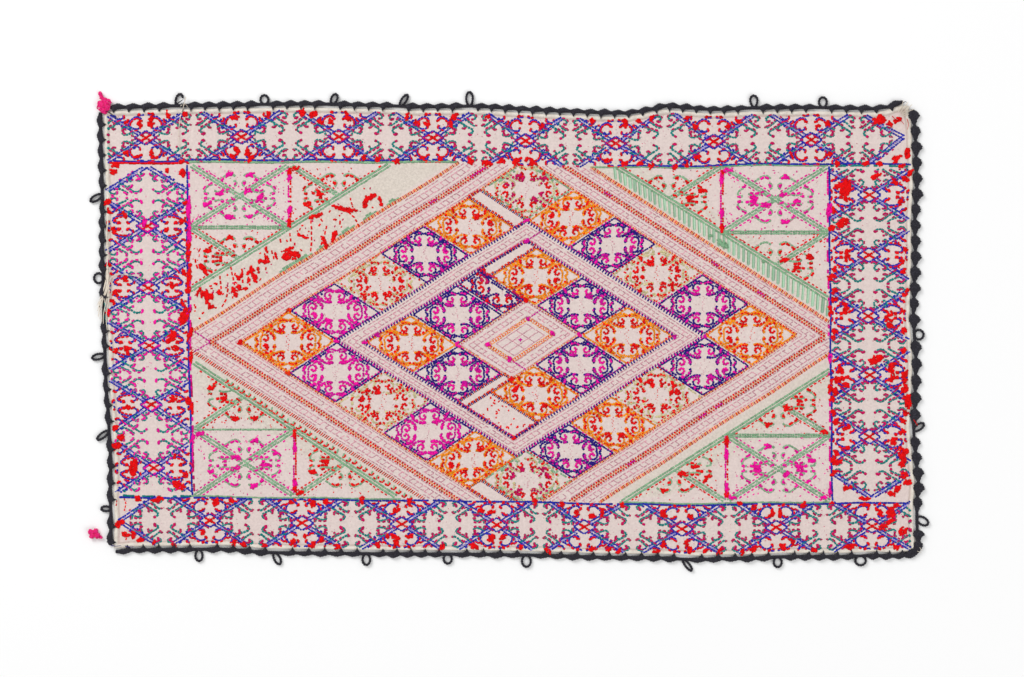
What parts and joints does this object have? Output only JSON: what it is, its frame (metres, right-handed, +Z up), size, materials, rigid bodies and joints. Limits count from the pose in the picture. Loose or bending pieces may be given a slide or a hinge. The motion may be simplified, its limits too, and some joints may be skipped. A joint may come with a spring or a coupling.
{
  "type": "embroidered pillow panel",
  "caption": "Flat rectangular pillow panel of embroidered cotton with a turned hem, a knotted wool edging, button loops along all four sides and a small corner tassel.",
  "frame": {"origin": "middle of the panel's flat underside", "axes": "+X along the panel's length, towards the side whose edging turns the lower corner; +Y across its width, towards the side with the tassel; +Z up, out of the embroidered face"},
  "size_m": [0.9243, 0.528, 0.007],
  "materials": {
    "cotton_ground": "plain-woven cream cotton, dense coloured counted-thread stitching",
    "black_wool": "black plied wool yarn, knotted",
    "pink_wool": "bright pink wool, loose cut ends"
  },
  "bodies": {
    "root": {"panel_cloth": "cotton_ground", "edging_top": "black_wool", "edging_right": "black_wool", "edging_bottom": "black_wool", "edging_left": "black_wool", "loop_top_1": "black_wool", "loop_top_2": "black_wool", "loop_top_3": "black_wool", "loop_top_4": "black_wool", "loop_top_5": "black_wool", "loop_top_6": "black_wool", "loop_top_7": "black_wool", "loop_right_1": "black_wool", "loop_right_2": "black_wool", "loop_right_3": "black_wool", "loop_bottom_1": "black_wool", "loop_bottom_2": "black_wool", "loop_bottom_3": "black_wool", "loop_bottom_4": "black_wool", "loop_bottom_5": "black_wool", "loop_bottom_6": "black_wool", "loop_bottom_7": "black_wool", "loop_bottom_8": "black_wool", "loop_left_1": "black_wool", "loop_left_2": "black_wool", "loop_left_3": "black_wool", "loop_left_4": "black_wool", "loop_left_5": "black_wool", "corner_tassel": "pink_wool", "corner_tuft": "pink_wool"}
  },
  "joints": []
}
